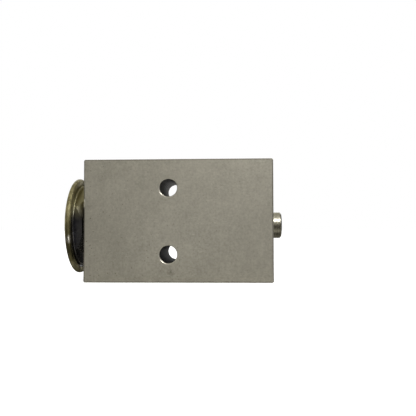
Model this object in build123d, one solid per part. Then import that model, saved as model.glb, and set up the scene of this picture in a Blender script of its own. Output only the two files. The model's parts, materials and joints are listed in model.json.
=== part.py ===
from build123d import *
import os
from math import sqrt

# A block-type thermostatic expansion valve for a vehicle's cooling circuit, in millimetres.
# An aluminium block carries the refrigerant passages. A diaphragm head is screwed into one end.
# A stem and a pin lead its movement to a ball, which a spring holds against a seat, and an
# adjusting screw in the other end sets the spring.
# +X runs along the valve line from the head to the adjusting screw and +Z is up. The origin is
# the middle of the lower port face, on which the block stands. The turned pieces are drawn about
# the X axis and lifted to the valve line when they are written.

# --- driving dimensions ---------------------------------------------------------------------
BLOCK_LENGTH = 58.5     # along the valve line
BLOCK_DEPTH = 24.0      # between the two plain faces
BLOCK_WIDTH = 38.0      # between the two port faces
LINE_Z = 17.6           # height of the valve line, a little under the middle of the block
CORNER_ROUND = 0.55     # the four long corners of the extruded bar
EDGE_BREAK = 0.4

BOLT_R = 2.7            # two fixing bolts pass right through, from plain face to plain face
BOLT_X = -2.95
BOLT_Z = (8.65, 29.15)
BOLT_CHAMFER = 0.3

SUCTION_X = -16.0       # vapour passes from port face to port face, beside the head
SUCTION_R = 6.5
SUCTION_PORT_R = 8.0
SUCTION_PORT_DEEP = 8.0
LIQUID_PORT_R = 6.0
LIQUID_PORT_DEEP = 7.0
FEED_PORT_X = 8.5       # the outlet to the evaporator opens in the upper port face
FEED_X = 7.0
FEED_R = 2.8
INLET_PORT_X = 13.5     # the liquid inlet opens in the lower port face
INLET_X = 16.0
INLET_R = 2.5
PORT_CHAMFER = 0.7
CLAMP_R = 2.5           # threaded holes for the M5 screws of the pipe clamps
CLAMP_DEEP = 5.0
CLAMP_CHAMFER = 0.4

HEAD_R = 15.4           # the rolled rim of the diaphragm head
RIM_TOP = -34.25        # the side of the rim that faces away from the block
SHEET = 0.5             # the lid is pressed from this sheet
LIP_R = 13.5            # the lid's edge is rolled under the base as far as this
LID_BEND_R = 12.9       # the lid rises from its rim in two steps, to a shoulder and a crown
SHOULDER_R = 12.3
SHOULDER_RISE = 0.7
CROWN_R = 8.0
CROWN_RISE = 1.1
CHARGE_HOLE_R = 0.9
PLUG_R = 1.9
PLUG_TIP_R = 1.3
PLUG_HEIGHT = 1.3
DIAPHRAGM = 0.1
WAVE_R = (10.2, 12.0)   # the diaphragm's corrugation begins and ends here
WAVE_RISE = 0.2
PLATE_R = 13.0          # the round plate of the base, inside the rolled lip
PLATE_LOW = -32.1
DISH_R = 12.0           # the room that the diaphragm's corrugation moves in
HEXAGON = 22.3          # across the flats of the base's hexagon
HEXAGON_END = -29.9
HEXAGON_TURN = 4.2      # degrees, where the hexagon stopped when it was screwed home
NECK_R = 8.0
NECK_WALL = 1.2
NECK_END = -24.6
PAD_ROOM_R = 9.7
PAD_ROOM_DEEP = 1.5
PAD_R = 9.0             # the pad under the diaphragm, and its hub for the stem
PAD_THICK = 0.9
HUB_R = 3.6
HUB_DEEP = 1.9
LIFT = 0.8              # how far the ball leaves its seat

STEM_R = 3.3
NOSE_R = 2.4            # the stem's nose sits in the hub of the pad
PIN_R = 1.2
PIN_SOCKET = 3.6        # how deep the pin sits in the foot of the stem
RUNNING = 0.05          # radial clearance of whatever slides or turns
FIT = 0.02              # the gap left between pieces that just touch
BALL_R = 2.5
ORIFICE_R = 1.9
CHAMBER_R = 5.5
CARRIER_R = 4.4
CARRIER_DEEP = 1.4
SPRING_BOSS_R = 2.9     # the bosses that centre the spring at both ends
SPRING_BOSS_DEEP = 2.2
DAMPER_SHEET = 0.3      # the sprung ring's steel
DAMPER_R = 5.2
DAMPER_LEG = 2.0
LEG_WIDTH = 2.2
SCREW_R = 6.0
SCREW_SUNK = 0.4        # the screw's foot stands this far inside the end of the block
STUB_R = 4.2
STUB_END = 32.5
STUB_CHAMFER = 0.45
SOCKET = 4.0            # across the flats of the hexagon socket
SOCKET_DEEP = 3.6
WIRE_R = 0.45
SPRING_R = 3.6
SPRING_TURNS = 3.5

# --- stations along the valve line ----------------------------------------------------------
HEAD_END = -BLOCK_LENGTH / 2
SCREW_END = BLOCK_LENGTH / 2
NECK_BORE_END = -24.0
SEAL_POCKET_R = 5.0
SEAL_FLOOR = -5.0
GUIDE_END = -1.0
STEM_SEAL_END = SEAL_FLOOR - 1.7 # the stem's seal, then its washer, then the retainer
WASHER_END = STEM_SEAL_END - 0.5
RETAINER_END = WASHER_END - 0.6
SEAT_START = 10.6
SEAT_END = 13.0
SEAT_R = 3.6
CHAMBER_END = 24.8
THREAD_START = CHAMBER_END + 0.5
GRIP = RIM_TOP + SHEET          # the diaphragm is gripped here
FLANGE_LOW = GRIP + DIAPHRAGM + SHEET
RIM_LOW = FLANGE_LOW + SHEET
CROWN = RIM_TOP - CROWN_RISE
SEAL_SEAT_R = 9.6               # the shallow seat round the neck's bore, for the head's seal
SEAL_SEAT = HEAD_END + 0.6
SEAT_EDGE = SEAT_END - (BALL_R - ORIFICE_R)
BALL_X = SEAT_EDGE + sqrt(BALL_R**2 - ORIFICE_R**2) + FIT
CARRIER_FACE = BALL_X + 0.95
SPRING_START = CARRIER_FACE + CARRIER_DEEP + DAMPER_SHEET
SPRING_END = 22.0
SEAT_CUP_END = 22.6
CUP_R = 4.5
GROOVE = (23.3, 24.6)           # the groove for the screw's seal
GROOVE_R = 4.5


# --- helpers --------------------------------------------------------------------------------
def turned(*profile):
    """A solid turned about the valve line, from the (x, radius) corners of its half section."""
    outline = Polyline([(x, 0, radius) for x, radius in profile], close=True)
    return revolve(make_face(outline), Axis.X)


def rims(shape, *stations):
    """The circular edges of a turned solid at the (x, radius) stations given."""
    circles = shape.edges().filter_by(GeomType.CIRCLE)
    return [
        circle for circle in circles for x, radius in stations
        if abs(circle.arc_center.X - x) < 0.001 and abs(circle.radius - radius) < 0.001
    ]


def ring(start, end, inner, outer):
    """A plain ring about the valve line."""
    return turned((start, inner), (start, outer), (end, outer), (end, inner))


def seal(start, end, inner, outer):
    """A rubber ring squeezed in its groove, so its round section is flattened on its sides."""
    plain = ring(start, end, inner, outer)
    softness = 0.42 * min(end - start, outer - inner)
    corners = [(x, radius) for x in (start, end) for radius in (inner, outer)]
    return fillet(rims(plain, *corners), softness)


def bored(x, z_mouth, radius, depth, chamfer_size, inward):
    """The tool for a port: a bore down from a port face, with a chamfered mouth."""
    z_floor = z_mouth + inward * depth
    shaft = Pos(x, 0, (z_mouth + z_floor) / 2) * Cylinder(radius, depth)
    mouth = Pos(x, 0, z_mouth + inward * chamfer_size / 2) * Rot(0 if inward > 0 else 180, 0, 0)
    return shaft + mouth * Cone(radius + chamfer_size, radius, chamfer_size)


# --- the block ------------------------------------------------------------------------------
def bolt_tool(z):
    """The tool for one bolt hole, chamfered at both plain faces."""
    shaft = Cylinder(BOLT_R, BLOCK_DEPTH)
    mouth = Cone(BOLT_R, BOLT_R + BOLT_CHAMFER, BOLT_CHAMFER)
    near = Pos(0, 0, (BLOCK_DEPTH - BOLT_CHAMFER) / 2) * mouth
    return Pos(BOLT_X, 0, z) * Rot(90, 0, 0) * (shaft + near + Rot(180, 0, 0) * near)


def port_tools():
    """The tools for everything that is bored from the two port faces."""
    top = BLOCK_WIDTH
    suction = Pos(SUCTION_X, 0, top / 2) * Cylinder(SUCTION_R, top)
    suction += bored(SUCTION_X, 0, SUCTION_PORT_R, SUCTION_PORT_DEEP, PORT_CHAMFER, 1)
    suction += bored(SUCTION_X, top, SUCTION_PORT_R, SUCTION_PORT_DEEP, PORT_CHAMFER, -1)
    feed = Pos(FEED_X, 0, (LINE_Z + top) / 2) * Cylinder(FEED_R, top - LINE_Z)
    feed += bored(FEED_PORT_X, top, LIQUID_PORT_R, LIQUID_PORT_DEEP, PORT_CHAMFER, -1)
    inlet = Pos(INLET_X, 0, LINE_Z / 2) * Cylinder(INLET_R, LINE_Z)
    inlet += bored(INLET_PORT_X, 0, LIQUID_PORT_R, LIQUID_PORT_DEEP, PORT_CHAMFER, 1)
    clamps = bored(BOLT_X, 0, CLAMP_R, CLAMP_DEEP, CLAMP_CHAMFER, 1)
    clamps += bored(BOLT_X, top, CLAMP_R, CLAMP_DEEP, CLAMP_CHAMFER, -1)
    return suction, feed, inlet, clamps


def line_tool():
    """The tool for the stepped bore along the valve line, from the head's end to the screw's."""
    break_ = EDGE_BREAK
    return turned(
        (HEAD_END, 0), (HEAD_END, SEAL_SEAT_R), (SEAL_SEAT, SEAL_SEAT_R), (SEAL_SEAT, NECK_R),
        (NECK_BORE_END, NECK_R), (NECK_BORE_END, SEAL_POCKET_R), (SEAL_FLOOR, SEAL_POCKET_R),
        (SEAL_FLOOR, STEM_R + RUNNING), (GUIDE_END, STEM_R + RUNNING),
        (GUIDE_END, PIN_R + RUNNING), (FEED_X, PIN_R + RUNNING), (FEED_X, FEED_R),
        (SEAT_START, FEED_R), (SEAT_START, SEAT_R), (SEAT_END, SEAT_R), (SEAT_END, CHAMBER_R),
        (CHAMBER_END, CHAMBER_R), (THREAD_START, SCREW_R), (SCREW_END - break_, SCREW_R),
        (SCREW_END, SCREW_R + break_), (SCREW_END, 0),
    )


def valve_block():
    """A length of extruded aluminium bar, with its bores and broken edges."""
    bar = Pos(0, 0, BLOCK_WIDTH / 2) * Box(BLOCK_LENGTH, BLOCK_DEPTH, BLOCK_WIDTH)
    bar = fillet(bar.edges().filter_by(Axis.Y), CORNER_ROUND)
    plain_faces = bar.faces().filter_by(Axis.Y)
    bar = chamfer(plain_faces.edges(), EDGE_BREAK)
    for z in BOLT_Z:
        bar -= bolt_tool(z)
    for tool in port_tools():
        bar -= tool
    return bar - Pos(0, 0, LINE_Z) * line_tool()


# --- the diaphragm head ---------------------------------------------------------------------
def head_base():
    """The base of the head: a flange and plate, a chamfered hexagon and the threaded neck."""
    flange_r = HEAD_R - SHEET - FIT
    half = HEXAGON / 2
    corner_r = HEXAGON / sqrt(3)
    corner_end = HEXAGON_END - (corner_r - half)
    plate = turned((FLANGE_LOW - SHEET, 0), (FLANGE_LOW - SHEET, flange_r),
                   (FLANGE_LOW, flange_r), (FLANGE_LOW, PLATE_R), (PLATE_LOW, PLATE_R),
                   (PLATE_LOW, 0))
    plate = fillet(rims(plate, (PLATE_LOW, PLATE_R)), 0.25)
    blank = turned((PLATE_LOW, 0), (PLATE_LOW, corner_r), (corner_end, corner_r),
                   (HEXAGON_END, half), (HEXAGON_END, 0))
    outline = Plane.YZ * RegularPolygon(half, 6, major_radius=False)
    prism = extrude(outline, HEXAGON_END - PLATE_LOW)
    hexagon = blank & Pos(PLATE_LOW, 0, 0) * Rot(30 + HEXAGON_TURN, 0, 0) * prism
    lead = 0.5
    neck = turned((HEXAGON_END, 0), (HEXAGON_END, NECK_R), (NECK_END - lead, NECK_R),
                  (NECK_END, NECK_R - lead), (NECK_END, 0))
    pad_floor = FLANGE_LOW + PAD_ROOM_DEEP
    neck_bore_r = NECK_R - NECK_WALL
    hollow = turned(
        (FLANGE_LOW - SHEET, 0), (FLANGE_LOW - SHEET, DISH_R + 0.2), (FLANGE_LOW, DISH_R),
        (FLANGE_LOW, PAD_ROOM_R), (pad_floor, PAD_ROOM_R), (pad_floor, neck_bore_r),
        (NECK_END, neck_bore_r), (NECK_END, 0),
    )
    return plate + hexagon + neck - hollow


def head_lid():
    """The pressed lid of the head. Its edge is rolled round the flange of the base."""
    shoulder = RIM_TOP - SHOULDER_RISE
    pocket = HEAD_R - SHEET
    inset = 0.4
    shell = turned(
        (RIM_TOP, HEAD_R), (RIM_TOP, LID_BEND_R), (shoulder, SHOULDER_R), (CROWN, CROWN_R),
        (CROWN, CHARGE_HOLE_R), (CROWN + SHEET, CHARGE_HOLE_R), (CROWN + SHEET, CROWN_R - 0.1),
        (shoulder + SHEET, SHOULDER_R - inset), (GRIP, LID_BEND_R - inset), (GRIP, pocket),
        (FLANGE_LOW, pocket), (FLANGE_LOW, LIP_R), (RIM_LOW, LIP_R), (RIM_LOW, HEAD_R),
    )
    shell = fillet(rims(shell, (RIM_TOP, LID_BEND_R), (shoulder, SHOULDER_R)), 0.35)
    shell = fillet(rims(shell, (RIM_LOW, LIP_R)), 0.2)
    roll = (RIM_LOW - RIM_TOP) / 2 - FIT
    return fillet(rims(shell, (RIM_TOP, HEAD_R), (RIM_LOW, HEAD_R)), roll)


def diaphragm():
    """A thin disc gripped between lid and base, with one rolled corrugation."""
    start, end = WAVE_R
    edge_r = HEAD_R - SHEET - 0.1

    def skin(x):
        flat = Line((x, 0, 0), (x, 0, start))
        wave = Spline((x, 0, start), (x - WAVE_RISE, 0, start + 0.5),
                      (x + WAVE_RISE, 0, end - 0.5), (x, 0, end),
                      tangents=[(0, 0, 1), (0, 0, 1)])
        edge = Line((x, 0, end), (x, 0, edge_r))
        return [flat, wave, edge]

    ends = [Line((GRIP, 0, radius), (GRIP + DIAPHRAGM, 0, radius)) for radius in (0, edge_r)]
    outline = Wire(skin(GRIP) + skin(GRIP + DIAPHRAGM) + ends)
    return revolve(make_face(outline), Axis.X)


def charge_plug():
    """The plug that closes the charging hole once the head is filled."""
    foot = CROWN + SHEET + 0.2
    tip = CROWN - PLUG_HEIGHT
    plug = turned((CROWN, 0), (foot, 0), (foot, CHARGE_HOLE_R), (CROWN, CHARGE_HOLE_R),
                  (CROWN, PLUG_R), (tip, PLUG_TIP_R), (tip, 0))
    return fillet(rims(plug, (tip, PLUG_TIP_R)), 0.4)


# --- what the diaphragm moves ---------------------------------------------------------------
PAD_TOP = GRIP + DIAPHRAGM + FIT
PAD_FLOOR = PAD_TOP + PAD_THICK
STEM_END = GUIDE_END - LIFT - 0.1


def pressure_pad():
    """The pad that the diaphragm bears on, with a hub for the stem."""
    hub_end = PAD_FLOOR + HUB_DEEP
    pad = turned((PAD_TOP, 0), (PAD_TOP, PAD_R), (PAD_FLOOR, PAD_R), (PAD_FLOOR, HUB_R),
                 (hub_end, HUB_R), (hub_end, NOSE_R), (PAD_FLOOR, NOSE_R), (PAD_FLOOR, 0))
    return fillet(rims(pad, (PAD_TOP, PAD_R)), 0.25)


def sensing_stem():
    """The aluminium stem that crosses the vapour passage and brings its warmth to the head."""
    nose_end = PAD_FLOOR + HUB_DEEP + 0.1
    socket = STEM_END - PIN_SOCKET
    stem = turned((PAD_FLOOR, 0), (PAD_FLOOR, NOSE_R), (nose_end, NOSE_R), (nose_end, STEM_R),
                  (STEM_END, STEM_R), (STEM_END, PIN_R), (socket, PIN_R), (socket, 0))
    return chamfer(rims(stem, (STEM_END, STEM_R)), 0.3)


def push_pin():
    """The steel pin from the foot of the stem to the ball."""
    start = STEM_END - PIN_SOCKET
    tip = BALL_X - BALL_R
    pin = turned((start, 0), (start, PIN_R), (tip, PIN_R), (tip, 0))
    return chamfer(rims(pin, (tip, PIN_R)), 0.2)


def ball_carrier():
    """The brass carrier that holds the ball in a cone and centres the spring."""
    contact = BALL_R / sqrt(2)
    cone_tip = BALL_X + 2 * contact + 0.01
    mouth = cone_tip - CARRIER_FACE
    floor = CARRIER_FACE + CARRIER_DEEP
    end = floor + SPRING_BOSS_DEEP
    carrier = turned((CARRIER_FACE, mouth), (CARRIER_FACE, CARRIER_R), (floor, CARRIER_R),
                     (floor, SPRING_BOSS_R), (end, SPRING_BOSS_R), (end, 0), (cone_tip, 0))
    return chamfer(rims(carrier, (end, SPRING_BOSS_R)), 0.3)


def damping_ring():
    """A sprung steel ring whose four legs rub on the chamber wall and stop the ball chattering."""
    start = SPRING_START - DAMPER_SHEET
    outer = CHAMBER_R - RUNNING
    disc = ring(start, SPRING_START, SPRING_BOSS_R + RUNNING, DAMPER_R)
    wall = ring(start - DAMPER_LEG, SPRING_START, outer - DAMPER_SHEET, outer)
    leg = Pos(start - DAMPER_LEG / 2, 0, DAMPER_R) * Box(3 * DAMPER_LEG, LEG_WIDTH, 4)
    kept = [wall & Rot(45 + 90 * k, 0, 0) * leg for k in range(4)]
    return disc + kept


def valve_spring():
    """A helical spring of round wire between the carrier and the screw's spring seat."""
    run = SPRING_END - SPRING_START - 2 * WIRE_R
    coil = Helix(pitch=run / SPRING_TURNS, height=run, radius=SPRING_R)
    section = Plane(origin=coil @ 0, z_dir=coil % 0) * Circle(WIRE_R)
    wire = sweep(section, path=coil)
    return Pos(SPRING_START + WIRE_R, 0, 0) * Rot(0, 90, 0) * wire


# --- the adjusting screw --------------------------------------------------------------------
def spring_seat():
    """The cup that the spring stands on. It slides with the screw but need not turn."""
    start = SPRING_END - 1.5
    lead = 0.3
    return turned((start, 0), (start, SPRING_BOSS_R - lead), (start + lead, SPRING_BOSS_R),
                  (SPRING_END, SPRING_BOSS_R), (SPRING_END, CUP_R), (SEAT_CUP_END, CUP_R),
                  (SEAT_CUP_END, 0))


def adjusting_screw():
    """The turned screw, with its sealed land, its thread and a hexagon socket in its stub."""
    land = CHAMBER_R - RUNNING
    thread = SCREW_R - RUNNING
    foot = SCREW_END - SCREW_SUNK
    screw = turned(
        (SEAT_CUP_END, 0), (SEAT_CUP_END, land), (GROOVE[0], land), (GROOVE[0], GROOVE_R),
        (GROOVE[1], GROOVE_R), (GROOVE[1], land), (THREAD_START - 0.2, land),
        (THREAD_START + 0.4, thread), (foot, thread), (foot, STUB_R), (STUB_END, STUB_R),
        (STUB_END, 0),
    )
    screw = chamfer(rims(screw, (STUB_END, STUB_R), (foot, thread)), STUB_CHAMFER)
    hexagon = Plane.YZ * RegularPolygon(SOCKET / 2, 6, major_radius=False)
    socket = Pos(STUB_END - SOCKET_DEEP, 0, 0) * extrude(hexagon, SOCKET_DEEP)
    return screw - socket


# --- assembly -------------------------------------------------------------------------------
LINE_PIECES = {
    "head_base": head_base(),
    "head_lid": head_lid(),
    "diaphragm": diaphragm(),
    "charge_plug": charge_plug(),
    "head_seal": seal(HEXAGON_END, SEAL_SEAT, NECK_R + RUNNING, SEAL_SEAT_R - 0.1),
    "pressure_pad": pressure_pad(),
    "sensing_stem": sensing_stem(),
    "push_pin": push_pin(),
    "stem_seal": seal(STEM_SEAL_END, SEAL_FLOOR, STEM_R + 0.03, SEAL_POCKET_R),
    "stem_washer": ring(WASHER_END, STEM_SEAL_END, STEM_R + 0.1, SEAL_POCKET_R),
    "stem_retainer": ring(RETAINER_END, WASHER_END, STEM_R + 0.3, SEAL_POCKET_R),
    "orifice_seat": turned((SEAT_START, ORIFICE_R), (SEAT_START, SEAT_R), (SEAT_END, SEAT_R),
                           (SEAT_END, BALL_R), (SEAT_EDGE, ORIFICE_R)),
    "valve_ball": Pos(BALL_X, 0, 0) * Sphere(BALL_R),
    "ball_carrier": ball_carrier(),
    "damping_ring": damping_ring(),
    "valve_spring": valve_spring(),
    "spring_seat": spring_seat(),
    "adjusting_screw": adjusting_screw(),
    "screw_seal": seal(GROOVE[0], GROOVE[1], GROOVE_R, CHAMBER_R - 0.03),
}

os.makedirs("parts", exist_ok=True)
export_step(valve_block(), "parts/valve_block.step")
for name, piece in LINE_PIECES.items():
    export_step(Pos(0, 0, LINE_Z) * piece, f"parts/{name}.step")
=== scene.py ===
# %% [markdown]
# # A block-type expansion valve, dressed in Blender
# This valve meters refrigerant into the evaporator of a vehicle. Its body is a length of extruded
# aluminium bar. A diaphragm head with a rolled rim is screwed into one end, and the stub of the
# adjusting screw stands out of the other. Every working piece comes from the CAD model, in its
# true place, so this file adds what the CAD leaves out: surface finishes, a few fine pieces such
# as threads and a brazed fillet, the light, and the camera. Sizes and places are in millimetres
# here, and one factor turns them into the metres that Blender counts in.

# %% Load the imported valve
import json
from math import radians, tau

import bpy
import numpy as np
from mathutils import Matrix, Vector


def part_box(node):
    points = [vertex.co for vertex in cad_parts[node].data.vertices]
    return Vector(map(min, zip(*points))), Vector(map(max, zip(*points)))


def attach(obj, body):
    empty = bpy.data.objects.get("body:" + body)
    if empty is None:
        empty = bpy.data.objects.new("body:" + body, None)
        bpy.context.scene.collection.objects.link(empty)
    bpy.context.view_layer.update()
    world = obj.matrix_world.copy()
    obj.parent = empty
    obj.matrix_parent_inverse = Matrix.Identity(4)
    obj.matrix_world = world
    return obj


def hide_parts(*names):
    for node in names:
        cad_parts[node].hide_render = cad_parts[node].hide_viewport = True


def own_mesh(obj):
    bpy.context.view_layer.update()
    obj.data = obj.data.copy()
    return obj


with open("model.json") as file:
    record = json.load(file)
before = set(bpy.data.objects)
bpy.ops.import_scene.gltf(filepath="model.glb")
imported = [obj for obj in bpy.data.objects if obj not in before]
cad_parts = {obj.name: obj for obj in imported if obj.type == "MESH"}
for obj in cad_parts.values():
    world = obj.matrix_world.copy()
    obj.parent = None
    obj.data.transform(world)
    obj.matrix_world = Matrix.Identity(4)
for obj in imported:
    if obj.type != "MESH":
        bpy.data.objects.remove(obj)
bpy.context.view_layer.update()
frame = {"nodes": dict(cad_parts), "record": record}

MM = 0.001


# %% Find the block and the valve line
def box_of(node):
    """The lowest and the highest corner of a CAD node, in millimetres."""
    return [np.round(np.array(corner) / MM, 3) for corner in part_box(node)]


block_low, block_high = box_of("valve_block")
lid_low, lid_high = box_of("head_lid")
# the valve line runs along X through the middle of the round head
LINE = (0, 0, float(lid_low[2] + lid_high[2]) / 2)
print("block from", block_low, "to", block_high, "and the valve line at height", LINE[2])

# %% [markdown]
# ## The camera
# The valve is seen square on to one of its plain faces, from so near that perspective shows: the
# far ends of the bolt holes seem to shift inwards. A long lens from far away would lose that, so
# the camera stands 16 cm from the face and its lens is chosen to fit the frame.

# %% Place the camera
CAMERA_AT = (16.46, -171.35, 16.78)
CAMERA_TURN = (92.174, 0.148, 2.584)    # degrees about X, Y and Z
LENS, SENSOR = 45.18, 36
NEAREST_SEEN = 5


def in_metres(*millimetres):
    """The same place or size in metres, for Blender."""
    return tuple(value * MM for value in millimetres)


camera = bpy.data.objects.new("camera", bpy.data.cameras.new("camera"))
camera.data.lens, camera.data.sensor_width = LENS, SENSOR
camera.data.clip_start = NEAREST_SEEN * MM
camera.location = in_metres(*CAMERA_AT)
camera.rotation_euler = [radians(angle) for angle in CAMERA_TURN]
bpy.context.collection.objects.link(camera)
bpy.context.scene.camera = camera
print("camera", [round(value, 4) for value in camera.location], "lens", camera.data.lens)

# %% [markdown]
# ## Adding nodes and reading colours
# A material is a small network of nodes. One helper makes any node, sets its own properties and
# fills its inputs, either with a value or with a link from an earlier node. Colours are written
# as the hex codes of a paint chart. Blender calculates in linear light, so a second helper
# undoes the curve that such codes carry.

# %% Two helpers for every material
def linear(hex_code):
    """A colour such as A09C8E as linear red, green, blue and alpha."""
    shown = np.array([int(hex_code[i:i + 2], 16) for i in (0, 2, 4)]) / 255
    light = np.where(shown <= 0.04045, shown / 12.92, ((shown + 0.055) / 1.055) ** 2.4)
    return (*light.tolist(), 1.0)


def add(tree, kind, inputs=None, stops=None, **settings):
    """Add one node with its settings and links. An input, found by its name or its number, takes
    a value, an output, or a node that stands for its first output. Stops fill a colour ramp.
    """
    made = tree.nodes.new(kind)
    for name, value in settings.items():
        setattr(made, name, value)
    live = [socket for socket in made.inputs if socket.enabled]
    for name, value in (inputs or {}).items():
        socket = live[name] if isinstance(name, int) else next(s for s in live if s.name == name)
        if isinstance(value, bpy.types.Node):
            value = next(output for output in value.outputs if output.enabled)
        if isinstance(value, bpy.types.NodeSocket):
            tree.links.new(value, socket)
        else:
            socket.default_value = value
    if stops:
        ramp = made.color_ramp
        while len(ramp.elements) < len(stops):
            ramp.elements.new(0.5)
        for element, (place, shade) in zip(ramp.elements, stops):
            element.position = place
            element.color = linear(shade)
    return made


print("half grey, 808080, is", round(linear("808080")[0], 3), "in linear light")

# %% [markdown]
# ## The white room
# The valve stands on a white table in front of a white backdrop. Both are white for the eye and
# for anything that mirrors them, but they send out less light than they show, so that they don't
# burn out the valve. Light Path tells the two apart: it knows whether a ray came straight from
# the camera or a mirror, or was scattered by something matt.

# %% Build the backdrop
SPREAD_LIGHT = 0.67
scene = bpy.context.scene
scene.view_settings.view_transform = "Standard"


def seen_directly(tree):
    """1 for the camera, a mirror reflection or a look through glass, and 0 for spread light."""
    path = add(tree, "ShaderNodeLightPath")
    either = add(tree, "ShaderNodeMath", {0: path.outputs["Is Camera Ray"],
                                         1: path.outputs["Is Glossy Ray"]}, operation="MAXIMUM")
    return add(tree, "ShaderNodeMath", {0: either, 1: path.outputs["Is Transmission Ray"]},
               operation="MAXIMUM")


world = bpy.data.worlds.new("white_backdrop")
scene.world = world
world.use_nodes = True
sky = world.node_tree
sky.nodes.clear()
strength = add(sky, "ShaderNodeMapRange", {"Value": seen_directly(sky), "To Min": SPREAD_LIGHT,
                                          "To Max": 1.0})
white = add(sky, "ShaderNodeBackground", {"Color": linear("FFFFFF"), "Strength": strength})
add(sky, "ShaderNodeOutputWorld", {"Surface": white})
print("backdrop:", world.name, "sends out", SPREAD_LIGHT, "of the light that it shows")

# %% Lay the table
TABLE_GLOW = 0.8
TABLE_REACH = 3000
TABLE_Z = -0.02     # a hair under the block, so that their faces don't flicker


def new_tree(name):
    """An empty material of this name, with its node tree."""
    material = bpy.data.materials.new(name)
    material.use_nodes = True
    material.node_tree.nodes.clear()
    return material, material.node_tree


def mesh_object(name, points, faces):
    """A new object made of these faces and of these points, in millimetres."""
    mesh = bpy.data.meshes.new(name)
    mesh.from_pydata((np.array(points) * MM).tolist(), [], faces)
    made = bpy.data.objects.new(name, mesh)
    bpy.context.collection.objects.link(made)
    return made


def staged_sheet(name, points, faces, material):
    """A sheet of the studio, which isn't part of the valve."""
    sheet = mesh_object(name, points, faces)
    sheet.data.materials.append(material)
    return sheet


table_paint, tree = new_tree("white_table")
paint = add(tree, "ShaderNodeBsdfDiffuse", {"Color": linear("E8E8E6")})
glow = add(tree, "ShaderNodeMath", {0: seen_directly(tree), 1: TABLE_GLOW}, operation="MULTIPLY")
light = add(tree, "ShaderNodeEmission", {"Color": linear("FFFFFF"), "Strength": glow})
both = add(tree, "ShaderNodeAddShader", {0: paint, 1: light})
add(tree, "ShaderNodeOutputMaterial", {"Surface": both})
corners = [(x * TABLE_REACH, y * TABLE_REACH, TABLE_Z)
           for x, y in ((-1, -1), (1, -1), (1, 1), (-1, 1))]
table = staged_sheet("table", corners, [(0, 1, 2, 3)], table_paint)
print(table.name, "reaches", TABLE_REACH, "mm each way")

# %% [markdown]
# ## What the metal mirrors
# Bare metal shows its surroundings more than its own colour, so it needs something dark to
# mirror as well: in a plain white room a turned stub has no shape. A curtain is hung before the
# valve, over it and under it. It is carried along the valve line, and its grey changes with the
# angle at which the line sees it, so that each grey ends up as one band on everything round. A
# second curtain closes the room beside the stub, and a small white card on the table puts a
# glint low on the rim. The camera and the matt floor don't see any of them, only mirrors do.

# %% Weave the curtain's greys
# Each grey has its angle in degrees round the valve line: 0 is level with the valve in front of
# it, -90 is the table under it, and 90 is the ceiling.
CURTAIN_GREYS = [(-165, "6A685F"), (-92, "66645C"), (-70, "343330"), (-50, "A8A59A"),
                 (-26, "504E49"), (-6, "484641"), (16, "ABA89D"), (40, "C4C1B5"),
                 (90, "BAB7AB"), (120, "B4B1A5"), (140, "B4B1A5")]
FIRST, LAST = CURTAIN_GREYS[0][0], CURTAIN_GREYS[-1][0]


def shine(tree, colour):
    """Let a material send out this colour by itself, whatever lights it."""
    light = add(tree, "ShaderNodeEmission", {"Color": colour, "Strength": 1.0})
    add(tree, "ShaderNodeOutputMaterial", {"Surface": light})


curtain_cloth, tree = new_tree("grey_curtain")
where = add(tree, "ShaderNodeTexCoord").outputs["Object"]
moved = add(tree, "ShaderNodeVectorMath", {0: where, 1: in_metres(*LINE)}, operation="SUBTRACT")
parts = add(tree, "ShaderNodeSeparateXYZ", {"Vector": moved})
ahead = add(tree, "ShaderNodeMath", {0: parts.outputs["Y"], 1: -1.0}, operation="MULTIPLY")
round_line = add(tree, "ShaderNodeMath", {0: parts.outputs["Z"], 1: ahead}, operation="ARCTAN2")
share = add(tree, "ShaderNodeMapRange", {"Value": round_line, "From Min": radians(FIRST),
                                         "From Max": radians(LAST)})
stops = [((degrees - FIRST) / (LAST - FIRST), grey) for degrees, grey in CURTAIN_GREYS]
shine(tree, add(tree, "ShaderNodeValToRGB", {"Fac": share}, stops=stops))
print(curtain_cloth.name, "has", len(stops), "greys")

# %% Hang the curtain
CURTAIN_ROWS = 95
CURTAIN_LEFT, CURTAIN_RIGHT = -1500, 260
CURTAIN_FRONT, CURTAIN_TOP, CURTAIN_FOOT = 500, 560, 0.3
FAR_OFF, NEARLY_LEVEL = 1e9, 1e-6


def curtain_points():
    """Two edges of a sheet: seen from the valve line at the angle a, both stand where the ray
    (y, z) = (-cos a, sin a) first meets the table, the front wall or the ceiling.
    """
    angle = np.radians(np.linspace(FIRST, LAST, CURTAIN_ROWS))
    y, z = -np.cos(angle), np.sin(angle)
    to_table = np.where(z < 0, (CURTAIN_FOOT - LINE[2]) / np.minimum(z, -NEARLY_LEVEL), FAR_OFF)
    to_front = np.where(y < 0, -CURTAIN_FRONT / np.minimum(y, -NEARLY_LEVEL), FAR_OFF)
    to_top = np.where(z > 0, (CURTAIN_TOP - LINE[2]) / np.maximum(z, NEARLY_LEVEL), FAR_OFF)
    reach = np.minimum(np.minimum(to_table, to_front), to_top)
    edges = [np.column_stack([np.full(CURTAIN_ROWS, x), y * reach, z * reach + LINE[2]])
             for x in (CURTAIN_LEFT, CURTAIN_RIGHT)]
    return np.stack(edges, 1).reshape(-1, 3)


# a strip joins the two points of one row to the two of the next
row = np.arange(CURTAIN_ROWS - 1)[:, None] * 2
curtain = staged_sheet("curtain", curtain_points(), (row + np.array([0, 1, 3, 2])).tolist(),
                       curtain_cloth)
print(curtain.name, "in", len(curtain.data.polygons), "strips")

# %% Close the end and lay the card
END_X, END_FRONT, END_BACK = 262, -500, 420
CARD_X, CARD_Y, CARD_Z = (-18, 12), (-48, -28), 0.5

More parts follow.
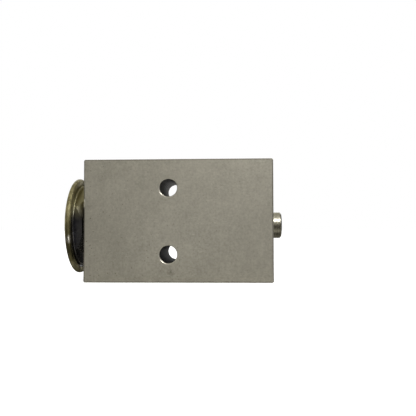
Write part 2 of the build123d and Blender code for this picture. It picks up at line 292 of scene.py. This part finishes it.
end_cloth, tree = new_tree("dark_end_cloth")
shine(tree, linear("4A4842"))
end_corners = [(END_X, END_FRONT, CURTAIN_FOOT), (END_X, END_BACK, CURTAIN_FOOT),
               (END_X, END_BACK, CURTAIN_TOP), (END_X, END_FRONT, CURTAIN_TOP)]
end_curtain = staged_sheet("end_curtain", end_corners, [(0, 1, 2, 3)], end_cloth)

card_paint, tree = new_tree("white_card")
shine(tree, linear("FFFFFF"))
card_corners = [(CARD_X[i], CARD_Y[j], CARD_Z) for i, j in ((0, 0), (1, 0), (1, 1), (0, 1))]
card = staged_sheet("card", card_corners, [(0, 1, 2, 3)], card_paint)

for sheet in (curtain, end_curtain, card):
    sheet.visible_camera = False
    sheet.visible_diffuse = False
    sheet.visible_shadow = False
print("only mirrored:", curtain.name, end_curtain.name, card.name)

# %% [markdown]
# ## The lamp
# One long and narrow soft box hangs above the valve, in front of it and well to the right. It
# lights the plain face from a slant, so that its grain shows, and being long it draws one clean
# bright line on the stub, where a bulb would leave a dot.

# %% Hang the soft box
def soft_box(name, place, aim, width, height, watts):
    """A rectangular area lamp at a place, turned to face the aim, both in millimetres."""
    lamp = bpy.data.lights.new(name, "AREA")
    lamp.shape = "RECTANGLE"
    lamp.size, lamp.size_y = width * MM, height * MM
    lamp.energy = watts
    holder = bpy.data.objects.new(name, lamp)
    holder.location = in_metres(*place)
    away = np.array(place) - np.array(aim)
    across = np.cross((0, 0, 1), away)
    across = across / np.linalg.norm(across)
    away = away / np.linalg.norm(away)
    axes = np.column_stack([across, np.cross(away, across), away])
    holder.rotation_euler = Matrix(axes.tolist()).to_euler()
    bpy.context.collection.objects.link(holder)
    return holder


key = soft_box("key_box", place=(98, -52, 140), aim=(10, 0, 19), width=270, height=26,
               watts=0.29)
print(key.name, "gives", round(key.data.energy, 2), "W")

# %% [markdown]
# ## Aluminium, sawn and tumbled
# The block is a slice of extruded aluminium bar. Its two plain faces were sawn and then tumbled
# with many others in a drum of stones, which leaves a matt grey that shows blurred light and no
# mirror image, with a fine grain, small pits and a few short scratches. A painted picture could
# carry all this, but patterns worked out from the place on the block keep their size in
# millimetres and need no unwrapping, so one material adds them up, one cell at a time.

# %% Start a finish, end it, and put it on
def start_finish(name, metallic, roughness, **more):
    """A new material: its tree, its shader, and the place on the object in millimetres."""
    material, tree = new_tree(name)
    shader = add(tree, "ShaderNodeBsdfPrincipled",
                 {"Metallic": metallic, "Roughness": roughness, **more})
    add(tree, "ShaderNodeOutputMaterial", {"Surface": shader})
    where = add(tree, "ShaderNodeTexCoord").outputs["Object"]
    place = add(tree, "ShaderNodeMapping", {"Vector": where, "Scale": (1 / MM,) * 3})
    return material, tree, shader, place


def join(tree, shader, colour, roughness, height, depth, strength=0.5):
    """Lead the colour, the roughness and a height of so many millimetres into the shader."""
    bump = add(tree, "ShaderNodeBump", {"Height": height, "Distance": depth * MM,
                                       "Strength": strength})
    for name, node in (("Base Color", colour), ("Roughness", roughness), ("Normal", bump)):
        source = next(output for output in node.outputs if output.enabled)
        tree.links.new(source, shader.inputs[name])


def dress(material, *nodes):
    """Give a finish to CAD nodes by name."""
    for node in nodes:
        obj = frame["nodes"][node]
        if not obj.material_slots:
            obj.data.materials.append(material)
        for slot in obj.material_slots:
            slot.link = "OBJECT"
            slot.material = material
    print(material.name, "on", ", ".join(nodes))


block_metal, tree, shader, place = start_finish("tumbled_aluminium", metallic=0.75,
                                                roughness=0.6)
print("started", block_metal.name)


# %% Grain and clouds
def blotches(tree, place, size, seed=0.0, detail=2.0, stretch=(1, 1, 1), turn=0.0,
             ends=(0.3, 0.7)):
    """Blotches about size millimetres across, drawn out by stretch and turned in the face: 0
    where the noise is under the first of the ends, and 1 where it is over the second.
    """
    scale = tuple(1 / (size * along) for along in stretch)
    drawn = add(tree, "ShaderNodeMapping", {"Vector": place, "Scale": scale,
                                           "Rotation": (0, turn, 0),
                                           "Location": (seed, seed * 1.7, -seed)})
    cloud = add(tree, "ShaderNodeTexNoise", {"Vector": drawn, "Scale": 1.0, "Detail": detail,
                                            "Roughness": 0.6})
    return add(tree, "ShaderNodeMapRange", {"Value": cloud, "From Min": ends[0],
                                           "From Max": ends[1]})


# The stones leave dents of about 0.3 mm. That is no more than one pixel here, so the grain is
# drawn at 0.55 mm. Over it lie the stains of the wash and a trace of the saw.
grain = blotches(tree, place, size=0.55, seed=9.0, detail=3.0)
clouds = blotches(tree, place, size=3.5, detail=4.0)
broad = blotches(tree, place, size=13.0, seed=4.0, detail=1.0)
saw_lines = blotches(tree, place, size=0.5, seed=2.0, stretch=(1, 6, 10))
SKIN_SHADES = [(0.15, "9F9C90"), (0.5, "ACA89C"), (0.85, "B8B4A8")]
tone = 0.0
for share, pattern in ((0.46, grain), (0.26, clouds), (0.16, broad), (0.12, saw_lines)):
    tone = add(tree, "ShaderNodeMath", {0: pattern, 1: share, 2: tone},
               operation="MULTIPLY_ADD")
skin = add(tree, "ShaderNodeValToRGB", {"Fac": tone}, stops=SKIN_SHADES)
print("the skin runs from", SKIN_SHADES[0][1], "to", SKIN_SHADES[-1][1])


# %% Pits and pale specks
def specks(tree, place, spacing, widest, seed=0.0):
    """1 inside round specks, one to a cell of spacing millimetres. Each has its own size, up to
    widest millimetres across, and the cells whose random value is under 0.45 have none.
    """
    moved = add(tree, "ShaderNodeVectorMath", {0: place, 1: (seed,) * 3}, operation="ADD")
    cell = add(tree, "ShaderNodeTexVoronoi", {"Vector": moved, "Scale": 1 / spacing})
    size = add(tree, "ShaderNodeMapRange", {"Value": cell.outputs["Color"], "From Min": 0.45,
                                           "From Max": 1.0, "To Max": widest / spacing / 2})
    return add(tree, "ShaderNodeMath", {0: cell, 1: size}, operation="LESS_THAN")


def near_point(tree, place, point, full, none, least=0.0):
    """A soft spot round a point: 1 up to full millimetres from it, and least from none on."""
    away = add(tree, "ShaderNodeVectorMath", {0: place, 1: point}, operation="DISTANCE")
    return add(tree, "ShaderNodeMapRange", {"Value": away, "From Min": full, "From Max": none,
                                           "To Min": 1.0, "To Max": least})


def laid_over(tree, colour, share, mark, strength):
    """The colour with a mark over it, a hex shade or a node, at that strength times the share."""
    seen = add(tree, "ShaderNodeMath", {0: share, 1: strength}, operation="MULTIPLY")
    over = mark if isinstance(mark, bpy.types.Node) else linear(mark)
    return add(tree, "ShaderNodeMix", {"Factor": seen, "A": colour, "B": over},
               data_type="RGBA")


# the corner under the head took more knocks, so its pits are darker
KNOCKED_CORNER = (-29, -12, 4)
knocked = near_point(tree, place, KNOCKED_CORNER, full=8.0, none=40.0, least=0.35)
PITS = ((1.0, 0.42, 0.0, "3C3A34"), (3.0, 0.75, 5.0, "4A473F"))
for spacing, widest, seed, shade in PITS:
    pits = specks(tree, place, spacing, widest, seed)
    deep = add(tree, "ShaderNodeMath", {0: pits, 1: knocked}, operation="MULTIPLY")
    skin = laid_over(tree, skin, deep, shade, strength=0.6)
pale = specks(tree, place, spacing=2.2, widest=0.45, seed=11.0)
skin = laid_over(tree, skin, pale, "E2DFD3", strength=0.35)
print("pits up to", [widest for _, widest, _, _ in PITS], "mm across")


# %% Scratches
def scratches(tree, place, turn, seed):
    """Short thin scratches one way: long blotches, drawn only along the line where their noise
    passes 0.6, and only inside some patches of five millimetres.
    """
    long_noise = blotches(tree, place, size=0.45, seed=seed, detail=0.0, stretch=(16, 1, 0.7),
                          turn=turn, ends=(0.0, 1.0))
    line = add(tree, "ShaderNodeMath", {0: long_noise, 1: 0.6, 2: 0.009}, operation="COMPARE")
    here = blotches(tree, place, size=5.0, seed=seed + 1, detail=0.0, ends=(0.52, 0.6))
    return add(tree, "ShaderNodeMath", {0: line, 1: here}, operation="MULTIPLY")


SCRATCH_WAYS = ((0.5, 3.0), (-0.9, 7.0))    # a turn in radians, and a seed
for turn, seed in SCRATCH_WAYS:
    skin = laid_over(tree, skin, scratches(tree, place, turn, seed), "D6D2C6", strength=0.4)
print("scratches in", len(SCRATCH_WAYS), "directions")

# %% [markdown]
# ## Marks and edges of the block
# Handling leaves its own traces on a part: here a smudge of wear below the lower bolt hole. The
# broken edges are darkened all round with painted shade, and a pale patch on the edge beside the
# head is a painted glint. To find an edge anywhere on a box, fold all its corners onto one by
# taking distances from the middle: a point is on an edge where two of the three distances are
# near their end.

# %% Smudge, painted edge shade and a painted glint
SMUDGE, PAINTED_EDGE_GLINT = (-2.1, -12, 3.2), (-29.2, -11.9, 24.5)
EDGE = 0.42
half_block = (block_high - block_low) / 2
block_middle = (block_high + block_low) / 2

near_smudge = near_point(tree, place, SMUDGE, full=0.3, none=1.5)
broken_up = blotches(tree, place, size=0.5, seed=6.0)
smudge = add(tree, "ShaderNodeMath", {0: near_smudge, 1: broken_up}, operation="MULTIPLY")
skin = laid_over(tree, skin, smudge, "5E5A4E", strength=0.5)

centred = add(tree, "ShaderNodeVectorMath", {0: place, 1: tuple(block_middle)},
              operation="SUBTRACT")
folded = add(tree, "ShaderNodeVectorMath", {0: centred}, operation="ABSOLUTE")
beyond = add(tree, "ShaderNodeVectorMath", {0: folded, 1: tuple(half_block - EDGE)},
             operation="SUBTRACT")
sides = add(tree, "ShaderNodeVectorMath", {0: beyond}, operation="SIGN")
count = add(tree, "ShaderNodeVectorMath", {0: sides, 1: (1, 1, 1)}, operation="DOT_PRODUCT")
edge = add(tree, "ShaderNodeMath", {0: count, 1: 0.0}, operation="GREATER_THAN")
# painted shade: the broken edges are darkened all round
skin = laid_over(tree, skin, edge, "5C594F", strength=0.6)
# painted glint: a pale patch on the edge beside the head
near_edge_glint = near_point(tree, place, PAINTED_EDGE_GLINT, full=1.0, none=1.5)
painted_edge_glint = add(tree, "ShaderNodeMath", {0: near_edge_glint, 1: edge}, operation="MULTIPLY")
skin = laid_over(tree, skin, painted_edge_glint, "F2EFE4", strength=0.9)
print("painted edge shade reaches", EDGE, "mm in from the edges of a block with half sides", half_block)

# %% [markdown]
# ## Bores of the block
# The bores are left as the tool made them, with fine rings. The bolt holes were drilled coarse,
# and their walls are drawn dark as painted shade, the lower one darker still, while the ports and
# the chamfers were cut by a sharper tool and came out pale. A mask finds each bore by the
# distance from its axis, and keeps to the bore's own height, so that it stays off the faces
# beyond.

# %% Masks for the bores
MOUNTS = {mount["name"]: mount for mount in frame["record"]["mounts"]}
BOLT_HOLES = ("bolt_hole_lower", "bolt_hole_upper")
BOLT_SPARE, PORT_SPARE = 0.04, 0.05     # how far a mask goes into a wall, to be sure of it
CHAMFER_WIDE = 0.33                     # how far the chamfers spread, with a little to spare
BOLT_REACH, SUCTION_REACH, PORT_REACH = 4, 20, 16


def middle_of(mount):
    """The middle of one of the record's bores, in millimetres."""
    return tuple(round(value / MM, 3) for value in MOUNTS[mount]["pos_m"])


def from_axis(tree, place, centre, across):
    """The distance from an axis through centre. Across is 0 along the axis and 1 across it."""
    moved = add(tree, "ShaderNodeVectorMath", {0: place, 1: centre}, operation="SUBTRACT")
    flat = add(tree, "ShaderNodeVectorMath", {0: moved, 1: across}, operation="MULTIPLY")
    return add(tree, "ShaderNodeVectorMath", {0: flat}, operation="LENGTH")


def in_bores(tree, place, bores, across):
    """1 inside any of the bores. Each is the x, y and z of its middle, its radius, and how far
    it may reach in height from there.
    """
    height = add(tree, "ShaderNodeSeparateXYZ", {"Vector": place}).outputs["Z"]
    found = 0.0
    for x, y, z, radius, reach in bores:
        inside = add(tree, "ShaderNodeMath", {0: from_axis(tree, place, (x, y, z), across),
                                             1: radius}, operation="LESS_THAN")
        level = add(tree, "ShaderNodeMath", {0: height, 1: z, 2: reach}, operation="COMPARE")
        both = add(tree, "ShaderNodeMath", {0: inside, 1: level}, operation="MULTIPLY")
        found = add(tree, "ShaderNodeMath", {0: both, 1: found}, operation="MAXIMUM")
    return found


def radius_of(mount):
    """The radius of one of the record's bores, in millimetres."""
    return MOUNTS[mount]["dims"]["r_mm"]


bolts, chamfers = ([(*middle_of(hole), radius_of(hole) + wider, BOLT_REACH)
                    for hole in BOLT_HOLES] for wider in (BOLT_SPARE, CHAMFER_WIDE))
# the suction ports are one bore from face to face, while feed and inlet have one face each
port_top = float(block_high[2])
ports = [(middle_of(port)[0], 0, z, radius_of(port) + PORT_SPARE, reach)
         for port, z, reach in (("suction_in_port", port_top / 2, SUCTION_REACH),
                                ("feed_port", port_top, PORT_REACH),
                                ("liquid_in_port", 0.0, PORT_REACH))]
in_bolt = in_bores(tree, place, bolts, across=(1, 0, 1))
in_chamfer = in_bores(tree, place, chamfers, across=(1, 0, 1))
in_port = in_bores(tree, place, ports, across=(1, 1, 0))
print("bolt holes", bolts, "ports", ports)

# %% Tool rings in the bores
# Rings are noise drawn out a hundredfold across the bore and short along it. The feed of a drill
# is about 0.2 mm, too fine to show here, so the rings are twice as coarse.
BOLT_RINGS, PORT_RINGS = 0.45, 0.4
bolt_rings = blotches(tree, place, BOLT_RINGS, seed=5.0, detail=1.0, stretch=(100, 1, 100))
port_rings = blotches(tree, place, PORT_RINGS, seed=6.0, detail=1.0, stretch=(100, 100, 1))
# painted shade: the bolt holes' rings are drawn in dark greys
shaded_bore_rings = add(tree, "ShaderNodeValToRGB", {"Fac": bolt_rings},
            stops=[(0.2, "34322C"), (0.8, "625F55")])
turned = add(tree, "ShaderNodeValToRGB", {"Fac": port_rings},
             stops=[(0.2, "8C8A80"), (0.8, "B5B2A6")])
skin = laid_over(tree, skin, in_port, turned, strength=1.0)
skin = laid_over(tree, skin, in_chamfer, "DAD6C8", strength=0.8)
skin = laid_over(tree, skin, in_bolt, shaded_bore_rings, strength=1.0)
# painted shade: the lower bolt hole's wall is darkened further
near_lower = near_point(tree, place, middle_of("bolt_hole_lower"), full=12.0, none=13.0)
lower_bore_shade = add(tree, "ShaderNodeMath", {0: near_lower, 1: in_bolt}, operation="MULTIPLY")
skin = laid_over(tree, skin, lower_bore_shade, "141310", strength=0.85)
print("rings of", BOLT_RINGS, "mm in the bolt holes and of", PORT_RINGS, "mm in the ports")

# %% Roughness and relief of the block
# The grain roughens the skin a little. A sharp tool leaves metal smoother than tumbling does,
# and the drill left it rougher.
rough = add(tree, "ShaderNodeMapRange", {"Value": grain, "To Min": 0.66, "To Max": 0.56})
for mask, rougher in ((in_port, -0.2), (in_chamfer, -0.25), (in_bolt, 0.35)):
    rough = add(tree, "ShaderNodeMath", {0: mask, 1: rougher, 2: rough},
                operation="MULTIPLY_ADD")
relief = grain
for share, pattern, mask in ((0.4, clouds, 1.0), (1.0, bolt_rings, in_bolt),
                             (1.0, port_rings, in_port)):
    part = add(tree, "ShaderNodeMath", {0: pattern, 1: mask}, operation="MULTIPLY")
    relief = add(tree, "ShaderNodeMath", {0: part, 1: share, 2: relief},
                 operation="MULTIPLY_ADD")
join(tree, shader, skin, rough, relief, depth=0.02)
dress(block_metal, "valve_block")

# %% [markdown]
# ## Plated steel of the head
# Lid and base are pressed and turned from steel, zinc plated and then passivated in a bath. That
# leaves a thin film over bright metal, which gives the eye an olive and gold sheen. The film is
# thicker where the bath ran off, so its colour drifts, and it darkens in streaks where the wheel
# rolled the lid's edge round the base. The wheel also leaves fine rings round the valve line.

# %% Passivated zinc on steel
FILM_DEPTH = 0.012


def turning_rings(tree, place, pitch, seed=0.0):
    """Rings round the valve line: noise that changes along the line and with the distance from
    it, but not round it. Its grain is the pitch in millimetres.
    """
    parts = add(tree, "ShaderNodeSeparateXYZ", {"Vector": place})
    distance = from_axis(tree, place, LINE, across=(0, 1, 1))
    flat = add(tree, "ShaderNodeCombineXYZ", {"X": parts.outputs["X"], "Y": distance, "Z": seed})
    return blotches(tree, flat, pitch, seed)


def passivated(name, stops, streak, roughness):
    """Passivated zinc plate: metal with a coloured film that drifts through the stops, darker
    streaks along the rolled rings, and a satin gloss that changes from patch to patch. Gives
    what start_finish does, and then the film, the gloss and the relief, still to be joined.
    """
    made = start_finish(name, metallic=1.0, roughness=roughness)
    _, tree, _, place = made
    drift = blotches(tree, place, size=5.0, seed=8.0, detail=3.0)
    film = add(tree, "ShaderNodeValToRGB", {"Fac": drift}, stops=stops)
    rings = turning_rings(tree, place, pitch=0.28)
    patches = blotches(tree, place, size=1.8, seed=1.0, ends=(0.42, 0.62))
    marks = add(tree, "ShaderNodeMath", {0: rings, 1: patches}, operation="MULTIPLY")
    film = laid_over(tree, film, marks, streak, strength=0.65)
    gloss = add(tree, "ShaderNodeMapRange", {"Value": patches, "To Min": roughness - 0.07,
                                            "To Max": roughness + 0.09})
    fine = blotches(tree, place, size=0.45, seed=3.0)
    relief = add(tree, "ShaderNodeMath", {0: fine, 1: 0.5, 2: rings}, operation="MULTIPLY_ADD")
    return *made, film, gloss, relief


olive, tree, shader, place, film, gloss, relief = passivated(
    "olive_passivated_lid", [(0.2, "8C8560"), (0.5, "A59E78"), (0.85, "B8B08A")],
    streak="4A4430", roughness=0.43)
print("started", olive.name)

# %% Marks on the rolled rim
# Hands dulled the rim above. Below it a dark patch is painted shade, at the foot a pale patch is
# painted light, and between them a pale and glossier spot is a painted glint. Each spot has its
# place, and how far it reaches in full and at all.
RIM_SPOTS = {"handled": ((-33.0, -13.9, 24.3), 1.0, 7.0),
             "stained": ((-33.0, -12.9, 9.2), 1.0, 4.0),
             "drained": ((-32.5, -8.4, 4.4), 1.5, 3.5),
             "rubbed": ((-32.45, -14.75, 13.4), 0.6, 1.7)}
spots = {mark: near_point(tree, place, *spot) for mark, spot in RIM_SPOTS.items()}
# painted shade, painted light and a painted glint, laid over the film
for mark, shade, strength in (("stained", "2A2718", 0.65), ("drained", "F2ECC8", 0.9),
                              ("rubbed", "FAF6EA", 0.95)):
    film = laid_over(tree, film, spots[mark], shade, strength)
for mark, rougher in (("handled", 0.26), ("rubbed", -0.27)):
    gloss = add(tree, "ShaderNodeMath", {0: spots[mark], 1: rougher, 2: gloss},
                operation="MULTIPLY_ADD")
join(tree, shader, film, gloss, relief, FILM_DEPTH)
print("the rim is", ", ".join(RIM_SPOTS))
dress(olive, "head_lid")

# %% The greyer base
# The base hung lower in the bath and keeps a greyer film than the lid. Its upper part is more
# olive and duller, and paler too: the olive is the film's tint and the paleness is painted light
# on the upper side.
GREY_BELOW, OLIVE_ABOVE = 19.0, 25.0
grey, tree, shader, place, film, gloss, relief = passivated(
    "grey_passivated_base", [(0.2, "66666C"), (0.5, "787880"), (0.85, "86868C")],
    streak="4A4A4E", roughness=0.30)
height = add(tree, "ShaderNodeSeparateXYZ", {"Vector": place}).outputs["Z"]
upper = add(tree, "ShaderNodeMapRange", {"Value": height, "From Min": GREY_BELOW,
                                        "From Max": OLIVE_ABOVE})
# painted light: a paler olive is laid over the upper part, partly the film's own tint
film = laid_over(tree, film, upper, "BDB68C", strength=0.85)
gloss = add(tree, "ShaderNodeMath", {0: upper, 1: 0.2, 2: gloss}, operation="MULTIPLY_ADD")
join(tree, shader, film, gloss, relief, FILM_DEPTH)
dress(grey, "head_base")

# %% [markdown]
# ## Turned metals
# The screw, the stem and the brass pieces come off a lathe. Its tool moves on a little with each
# turn and leaves rings, which draw the light out into a line along the piece. The real feed is
# near 0.1 mm, too fine to show here, so the rings are drawn at 0.22 mm.

# %% A finish from the lathe
def turned_metal_finish(name, pale, dark, roughness):
    """Metal from the lathe: rings at the feed of the tool, in colour, roughness and height, and
    a few stains from the hand and the cutting oil.
    """
    material, tree, shader, place = start_finish(name, metallic=1.0, roughness=roughness)
    rings = turning_rings(tree, place, pitch=0.22, seed=2.0)
    colour = add(tree, "ShaderNodeValToRGB", {"Fac": rings}, stops=[(0, dark), (1, pale)])
    stains = blotches(tree, place, size=2.5, seed=5.0, detail=3.0, ends=(0.55, 0.75))
    colour = laid_over(tree, colour, stains, dark, strength=0.35)
    gloss = add(tree, "ShaderNodeMapRange", {"Value": rings, "To Min": roughness + 0.05,
                                            "To Max": roughness - 0.05})
    join(tree, shader, colour, gloss, rings, depth=0.008, strength=0.6)
    return material


# free-cutting steel, turned bright: pale, warm grey, and the glossiest metal seen from outside
dress(turned_metal_finish("turned_bright_steel", "CFCCBE", "A9A699", roughness=0.26),
      "adjusting_screw", "spring_seat", "orifice_seat")
# an aluminium rod, turned and left bare: as pale as the steel, but softer in its gloss
dress(turned_metal_finish("turned_stem_aluminium", "C2C0B6", "A3A197", roughness=0.32),
      "sensing_stem")
# brass, turned from bar: yellow, and browner where a film of oil has dried in the rings
dress(turned_metal_finish("lathe_turned_brass", "C9A766", "A48448", roughness=0.28),
      "pressure_pad", "stem_washer", "ball_carrier")
# a copper plug, cut from drawn rod and dulled by the heat of brazing to a pinkish brown
dress(turned_metal_finish("copper_plug", "B9805C", "8C5B40", roughness=0.34), "charge_plug")

# %% [markdown]
# ## Drawn and polished steel, and rubber
# Springs, rings and the diaphragm are drawn or rolled, so they have no rings, only a smooth skin
# that is a little darker than cut steel. The ball and the pin are ground and polished until they
# mirror. The seals are black rubber, the only pieces here that aren't metal.

# %% Drawn and polished steel
def smooth_metal(name, pale, dark, roughness, patch):
    """Drawn or polished metal: two close shades in patches, and a faint change of roughness."""
    material, tree, shader, place = start_finish(name, metallic=1.0, roughness=roughness)
    patches = blotches(tree, place, patch, seed=6.0, detail=3.0)
    colour = add(tree, "ShaderNodeValToRGB", {"Fac": patches}, stops=[(0, dark), (1, pale)])
    gloss = add(tree, "ShaderNodeMapRange", {"Value": patches, "To Min": roughness * 1.3,
                                            "To Max": roughness * 0.8})
    join(tree, shader, colour, gloss, patches, depth=0.003, strength=0.4)
    return material


# spring steel, drawn or rolled hard: dark grey with a greasy gloss from the die
spring_steel = smooth_metal("drawn_spring_steel", "8C8880", "6A675F", roughness=0.25, patch=1.0)
dress(spring_steel, "diaphragm", "stem_retainer", "damping_ring", "valve_spring")
# bearing steel, ground and polished: bright, with reflections as sharp as a mirror's
dress(smooth_metal("polished_ball_steel", "C6C6C2", "B0B0AC", roughness=0.07, patch=2.0),
      "valve_ball", "push_pin")

# %% Moulded seal rubber
# Moulded nitrile rubber: black, half matt, with a grey bloom of wax that comes out in patches.
rubber, tree, shader, place = start_finish("moulded_seal_rubber", metallic=0.0, roughness=0.5,
                                           IOR=1.52)
bloom = blotches(tree, place, size=1.2, seed=3.0, detail=4.0)
black = add(tree, "ShaderNodeValToRGB", {"Fac": bloom}, stops=[(0.4, "1B1B1A"), (1, "2B2A27")])
gloss = add(tree, "ShaderNodeMapRange", {"Value": bloom, "To Min": 0.42, "To Max": 0.60})
join(tree, shader, black, gloss, bloom, depth=0.01)
dress(rubber, "head_seal", "stem_seal", "screw_seal")

# %% [markdown]
# ## Threads for the clamp screws
# Each port face has a hole for the M5 screw that clamps the pipes. The CAD hole is plain and as
# wide as the thread's grooves, so the ridges are added here. A ridge is one long triangle wound
# round the hole at a pitch of 0.8 mm, and it fades out at both ends as a tap leaves it.

# %% Wind the thread ridges
THREAD_R, THREAD_CORE_R, THREAD_PITCH = 2.53, 2.07, 0.8
FLANK = 0.36 * THREAD_PITCH     # half the ridge's foot
CREST, CREST_SINK = 0.06, 0.03  # half the ridge's flat crest, and how far it is worn down
THREAD_START = 0.75             # how far inside the mouth the ridge begins
UNCUT_TURNS = 1.2               # turns that the tap doesn't reach at the mouth and the bottom
FADE = radians(150)             # how far round a ridge takes to reach its full height
THREAD_STEPS = 40               # points along each turn


def surface(name, points, closed_along=False):
    """A mesh from a grid of points, closed round its second direction and capped at its ends."""
    rows, columns = points.shape[:2]
    row, column = np.meshgrid(np.arange(rows - 1), np.arange(columns), indexing="ij")
    beside = (column + 1) % columns
    faces = np.stack([row * columns + column, row * columns + beside,
                      (row + 1) * columns + beside, (row + 1) * columns + column], -1)
    faces = faces.reshape(-1, 4).tolist()
    if not closed_along:
        faces.append(list(range(columns))[::-1])
        faces.append([(rows - 1) * columns + i for i in range(columns)])
    piece = mesh_object(name, points.reshape(-1, 3), faces)
    piece.data.shade_smooth()
    return piece


def thread_ridge(name, hole, mouth_z, inward):
    """Ridge on a helix: place = (r cos a, r sin a, z), where a runs along the thread, z falls by
    one pitch a turn, and (r, z) also goes round a triangle that shrinks to nothing at both ends.
    """
    turns = MOUNTS[hole]["dims"]["length_mm"] / THREAD_PITCH - UNCUT_TURNS
    angle = np.linspace(0, tau * turns, int(turns * THREAD_STEPS))[:, None]
    crest_r = THREAD_CORE_R + CREST_SINK
    radius = np.array([THREAD_R, crest_r, crest_r, THREAD_R])
    offset = np.array([-FLANK, -CREST, CREST, FLANK])
    size = np.clip(np.minimum(angle, tau * turns - angle) / FADE, 0.02, 1)
    r = THREAD_R - (THREAD_R - radius) * size
    z = THREAD_START + angle / tau * THREAD_PITCH + offset * size
    x = middle_of(hole)[0] + r * np.cos(angle)
    y = r * np.sin(angle) * inward
    return surface(name, np.stack([x, y, mouth_z + inward * z], -1))


# aluminium cut by a tap: a little darker than the block, with the gloss of a fresh cut
thread_metal = turned_metal_finish("tapped_aluminium", "ABA89C", "86847A", roughness=0.4)
for name, hole, mouth_z, inward in (
        ("clamp_thread_lower", "clamp_screw_lower", float(block_low[2]), 1),
        ("clamp_thread_upper", "clamp_screw_upper", float(block_high[2]), -1)):
    ridge = thread_ridge(name, hole, mouth_z, inward)
    ridge.data.materials.append(thread_metal)
    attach(ridge, "housing")
    print(name, len(ridge.data.polygons), "faces")

# %% [markdown]
# ## The spring, wound as a piece of its own
# When the valve opens, the ball's carrier presses the spring by 0.8 mm, while the spring's far
# end stays on its cup. A CAD node can only move as a whole, so it would run into the cup. This
# piece takes its place and rides with the carrier. Its wire is a circle carried along a helix,
# and the last half turn at each end lies flat and is ground off, as on a real spring, so that it
# stands square.

# %% Wind the spring
WIRE_R, COIL_R, TURNS, DEAD_TURNS = 0.45, 3.6, 3.5, 0.5
COIL_START, COIL_END = 16.695, 22.0     # where the carrier and the cup hold it
GROUND = 0.12                           # how much is ground off each end
COIL_STEPS, WIRE_STEPS = 48, 14         # points along each turn, and round the wire


def wound_spring(name):
    """Wire on a helix: with a the angle and b the way round the wire, radius = R + w cos b and
    x = climb(a) + w sin b, where climb is level over the dead turns; x is cut off at both ends.
    """
    angle = np.linspace(0, tau * TURNS, int(TURNS * COIL_STEPS))[:, None]
    climb = np.clip((angle / tau - DEAD_TURNS) / (TURNS - 2 * DEAD_TURNS), 0, 1)
    first, last = COIL_START + WIRE_R - GROUND, COIL_END - WIRE_R + GROUND
    round_wire = np.linspace(tau, 0, WIRE_STEPS, endpoint=False)
    radius = COIL_R + WIRE_R * np.cos(round_wire)
    x = np.clip(first + (last - first) * climb + WIRE_R * np.sin(round_wire),
                COIL_START, COIL_END)
    points = np.stack([x, radius * np.cos(angle), LINE[2] + radius * np.sin(angle)], -1)
    return surface(name, points)


spring = wound_spring("coil_spring")
spring.data.materials.append(spring_steel)
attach(spring, "valve_train")
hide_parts("valve_spring")
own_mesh(spring)

# %% [markdown]
# ## The brazed fillet round the charge plug
# Once the head is filled, its plug is brazed in, and a thin meniscus of solder creeps up between
# plug and lid. It is a profile carried round the valve line: a hollow curve that starts flat on
# the lid and ends steep on the plug, and it wavers a little, because solder flows unevenly.

# %% Flow the fillet
FILLET_ROWS, CURVE_STEPS = 72, 9
PLUG_FOOT_R = 1.82              # a little inside the plug, so that no gap shows
SPREAD, CLIMB = 0.8, 0.45       # how far the solder runs out on the lid and up the plug
UNDER_LID, UNDER_PLUG = 0.05, 0.25


def solder_fillet(name, lid_x):
    """Hollow curve round the axis: going from the lid to the plug by t, the radius is the plug's
    + SPREAD (1 - sin t) and the height CLIMB (1 - cos t), and both waver with the angle. Its
    back is closed by two more points, inside the plug and under the lid.
    """
    angle = np.linspace(0, tau, FILLET_ROWS, endpoint=False)[:, None]
    t = np.linspace(0, tau / 4, CURVE_STEPS)
    waver = 1 + 0.12 * np.sin(3 * angle + 1.0) + 0.06 * np.sin(7 * angle)
    r = PLUG_FOOT_R + SPREAD * waver * (1 - np.sin(t))
    height = CLIMB * waver * (1 - np.cos(t))
    height[:, 0] = -UNDER_LID
    inside = np.full((FILLET_ROWS, 2), PLUG_FOOT_R - UNDER_PLUG)
    r = np.concatenate([r, inside], 1)
    height = np.concatenate([height, height[:, -1:], np.full((FILLET_ROWS, 1), -UNDER_LID)], 1)
    points = np.stack([lid_x - height, r * np.cos(angle), LINE[2] + r * np.sin(angle)], -1)
    return surface(name, np.concatenate([points, points[:1]]), closed_along=True)


fillet = solder_fillet("plug_fillet", float(lid_low[0]))
# tin solder, set as it flowed: pale grey, smooth, with soft patches where it cooled
fillet.data.materials.append(smooth_metal("tin_solder", "B4B2AA", "94928A", roughness=0.35,
                                          patch=0.6))
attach(fillet, "housing")
print("plug_fillet", len(fillet.data.polygons), "faces")
